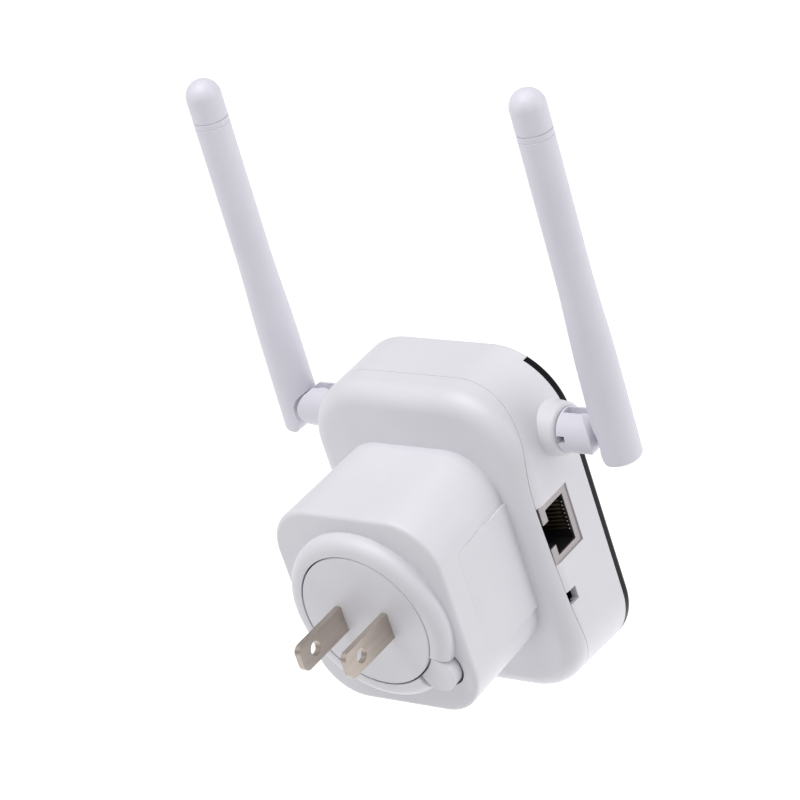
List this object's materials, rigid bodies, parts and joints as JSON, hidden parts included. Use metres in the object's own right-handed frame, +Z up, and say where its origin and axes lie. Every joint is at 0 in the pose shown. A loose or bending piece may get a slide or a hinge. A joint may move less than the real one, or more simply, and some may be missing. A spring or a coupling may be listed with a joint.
{
  "type": "wifi range extender",
  "caption": "Plug-in wifi range extender: rounded white box with a black front panel, twist-off two-blade mains plug, side network socket and two swivelling, folding rod antennas.",
  "frame": {"origin": "centre of the plug disc's outer face, which rests against the wall outlet", "axes": "+Y into the wall, along the blades; +Z up; +X to the right for somebody who looks at the front panel, which faces -Y"},
  "size_m": [0.0974, 0.0692, 0.1439],
  "materials": {
    "white_shell": "smooth white injection-moulded plastic with a soft gloss",
    "black_panel": "piano-black front panel",
    "black_plastic": "black moulded plastic",
    "blade_metal": "nickel-plated blade",
    "spring_steel": "plain spring steel",
    "screw_steel": "zinc-plated screws",
    "jack_metal": "tin-plated sheet",
    "contact_gold": "gold-plated contact wires",
    "contact_brass": "plain brass",
    "green_board": "green solder mask",
    "tan_board": "tan paper laminate",
    "led_lens": "milky LED bodies",
    "clear_guide": "translucent light guide",
    "transformer_yellow": "yellow tape over a ferrite core",
    "capacitor_sleeve": "black sleeved cans",
    "capacitor_blue": "blue dipped capacitor",
    "resistor_body": "green flame-proof coating",
    "red_wire": "insulated supply wires",
    "brown_coax": "brown micro coax jacket"
  },
  "bodies": {
    "housing": {"board_screws": "screw_steel", "bridge_rectifier": "black_plastic", "crystal": "jack_metal", "flash_chip": "black_plastic", "front_casing": "white_shell", "front_panel": "black_panel", "fuse_resistor": "resistor_body", "input_capacitor": "capacitor_sleeve", "jack_contacts": "contact_gold", "jack_insert": "black_plastic", "jack_shield": "jack_metal", "lan_transformer": "black_plastic", "left_coax_lead": "brown_coax", "light_guide": "clear_guide", "line_contacts": "contact_brass", "main_board": "green_board", "output_capacitors": "capacitor_sleeve", "power_board": "tan_board", "power_board_screws": "screw_steel", "power_controller": "black_plastic", "power_leads": "red_wire", "power_transformer": "transformer_yellow", "rear_cover": "white_shell", "release_spring": "spring_steel", "reset_switch": "black_plastic", "rf_shield": "jack_metal", "right_coax_lead": "brown_coax", "router_chip": "black_plastic", "safety_capacitor": "capacitor_blue", "status_leds": "led_lens"},
    "plug_module": {"plug_disc": "white_shell", "plug_blades": "blade_metal"},
    "release_button": {"release_button": "white_shell", "release_clip": "spring_steel"},
    "reset_button": {"reset_button": "black_plastic"},
    "left_swivel": {"left_antenna_post": "white_shell", "left_antenna_clip": "spring_steel", "left_coax_link": "brown_coax"},
    "left_antenna": {"left_antenna_rod": "white_shell", "left_antenna_cap": "white_shell", "left_dipole_sleeve": "contact_brass", "left_dipole_whip": "contact_brass", "left_rod_coax": "brown_coax"},
    "right_swivel": {"right_antenna_post": "white_shell", "right_antenna_clip": "spring_steel", "right_coax_link": "brown_coax"},
    "right_antenna": {"right_antenna_rod": "white_shell", "right_antenna_cap": "white_shell", "right_dipole_sleeve": "contact_brass", "right_dipole_whip": "contact_brass", "right_rod_coax": "brown_coax"}
  },
  "joints": [
    {"name": "plug_twist", "type": "hinge", "parent": "housing", "child": "plug_module", "pos_m": [0, 0, 0], "axis": [0, 1, 0], "range_deg": [0, 30]},
    {"name": "release_press", "type": "slide", "parent": "housing", "child": "release_button", "axis": [0, -1, 0], "range_m": [0, 0.0018], "stiffness_N_per_m": 400, "springref_m": -0.0006, "deforming": ["release_spring"]},
    {"name": "reset_press", "type": "slide", "parent": "housing", "child": "reset_button", "axis": [1, 0, 0], "range_m": [0, 0.00035], "stiffness_N_per_m": 1000, "springref_m": -0.0003},
    {"name": "left_antenna_swivel", "type": "hinge", "parent": "housing", "child": "left_swivel", "pos_m": [-0.0318, -0.0457, 0.0229], "axis": [1, 0, 0], "range_deg": [-90, 180]},
    {"name": "left_antenna_fold", "type": "hinge", "parent": "left_swivel", "child": "left_antenna", "pos_m": [-0.0364, -0.0457, 0.0229], "axis": [0, -0.9989, -0.0471], "range_deg": [0, 88]},
    {"name": "right_antenna_swivel", "type": "hinge", "parent": "housing", "child": "right_swivel", "pos_m": [0.0318, -0.0457, 0.0229], "axis": [1, 0, 0], "range_deg": [-90, 180]},
    {"name": "right_antenna_fold", "type": "hinge", "parent": "right_swivel", "child": "right_antenna", "pos_m": [0.0364, -0.0457, 0.0229], "axis": [0, 0.9989, 0.0471], "range_deg": [0, 88]}
  ]
}
